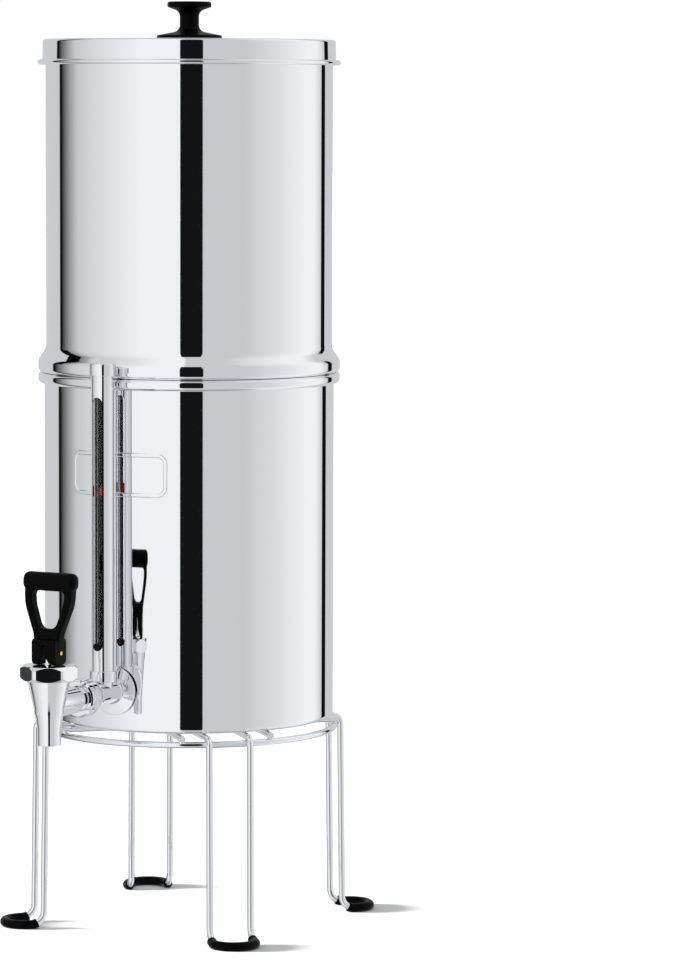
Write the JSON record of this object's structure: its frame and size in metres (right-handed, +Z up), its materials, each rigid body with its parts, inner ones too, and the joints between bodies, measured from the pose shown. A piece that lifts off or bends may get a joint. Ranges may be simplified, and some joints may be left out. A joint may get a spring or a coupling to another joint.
{
  "type": "gravity water filter",
  "caption": "Tall two-chamber gravity water filter in polished steel on a wire stand, with a lever tap, a sight gauge and a lift-off lid.",
  "frame": {"origin": "on the floor under the chambers' axis, in the plane that the four foot sleeves stand on", "axes": "+Z up along the chambers' axis, -Y out of the tap, +X to the right seen from the tap"},
  "size_m": [0.228, 0.3371, 0.6958],
  "materials": {
    "polished_steel": "mirror-polished stainless sheet",
    "wire_steel": "polished stainless wire",
    "tap_metal": "polished cast and turned stainless",
    "black_plastic": "moulded, semi-gloss",
    "black_rubber": "dipped rubber",
    "carbon_block": "pressed carbon, matt",
    "seal_rubber": "moulded rubber",
    "gauge_glass": "clear tube",
    "brass": "turned brass",
    "red_float": "moulded red ball",
    "valve_rubber": "moulded silicone"
  },
  "bodies": {
    "stand": {"stand_ring": "wire_steel", "leg_front_right": "wire_steel", "leg_rear_right": "wire_steel", "leg_rear_left": "wire_steel", "leg_front_left": "wire_steel", "foot_sleeve_front_right": "black_rubber", "foot_sleeve_rear_right": "black_rubber", "foot_sleeve_rear_left": "black_rubber", "foot_sleeve_front_left": "black_rubber"},
    "lower_chamber": {"lower_chamber": "polished_steel", "wall_seal_outer": "seal_rubber", "wall_seal_inner": "seal_rubber", "outlet_body": "tap_metal", "shank_nut": "tap_metal", "coupling_nut": "tap_metal", "gauge_collar": "tap_metal", "gauge_guard": "tap_metal", "gauge_cap": "tap_metal", "gauge_seal_lower": "seal_rubber", "gauge_seal_upper": "seal_rubber", "glass_tube": "gauge_glass", "tap_body": "tap_metal", "bonnet_nut": "tap_metal"},
    "water_float": {"water_float": "red_float"},
    "valve": {"valve_stem": "tap_metal", "seat_cup": "valve_rubber", "lever_pin": "brass"},
    "tap_lever": {"tap_lever": "black_plastic"},
    "upper_chamber": {"upper_chamber": "polished_steel", "element_block_1": "carbon_block", "element_cap_1": "black_plastic", "element_seal_1": "seal_rubber", "element_block_2": "carbon_block", "element_cap_2": "black_plastic", "element_seal_2": "seal_rubber"},
    "wing_nut_1": {"wing_nut_1": "black_plastic"},
    "wing_nut_2": {"wing_nut_2": "black_plastic"},
    "lid": {"lid": "polished_steel", "lid_knob": "black_plastic", "knob_screw": "tap_metal", "knob_washer": "tap_metal"}
  },
  "joints": [
    {"name": "lower_chamber_lift", "type": "slide", "parent": "stand", "child": "lower_chamber", "axis": [0, 0, 1], "range_m": [0, 0.05]},
    {"name": "float_rise", "type": "slide", "parent": "lower_chamber", "child": "water_float", "axis": [0, 0, 1], "range_m": [-0.13, 0.068]},
    {"name": "valve_lift", "type": "slide", "parent": "lower_chamber", "child": "valve", "axis": [0, 0, 1], "range_m": [0, 0.00366]},
    {"name": "lever_tip", "type": "hinge", "parent": "valve", "child": "tap_lever", "pos_m": [0, -0.202, 0.2254], "axis": [1, 0, 0], "range_deg": [0, 60], "stiffness_Nm_per_rad": 0.3},
    {"name": "upper_chamber_lift", "type": "slide", "parent": "lower_chamber", "child": "upper_chamber", "axis": [0, 0, 1], "range_m": [0, 0.1]},
    {"name": "wing_nut_1_turn", "type": "hinge", "parent": "upper_chamber", "child": "wing_nut_1", "pos_m": [-0.05, 0, 0.391], "axis": [0, 0, -1], "range_deg": [0, 360]},
    {"name": "wing_nut_2_turn", "type": "hinge", "parent": "upper_chamber", "child": "wing_nut_2", "pos_m": [0.05, 0, 0.391], "axis": [0, 0, -1], "range_deg": [0, 360]},
    {"name": "lid_lift", "type": "slide", "parent": "upper_chamber", "child": "lid", "axis": [0, 0, 1], "range_m": [0, 0.1]}
  ],
  "couplings": [
    {"joint": "lever_tip", "follows": "valve_lift", "rad_per_m": 285.7}
  ]
}
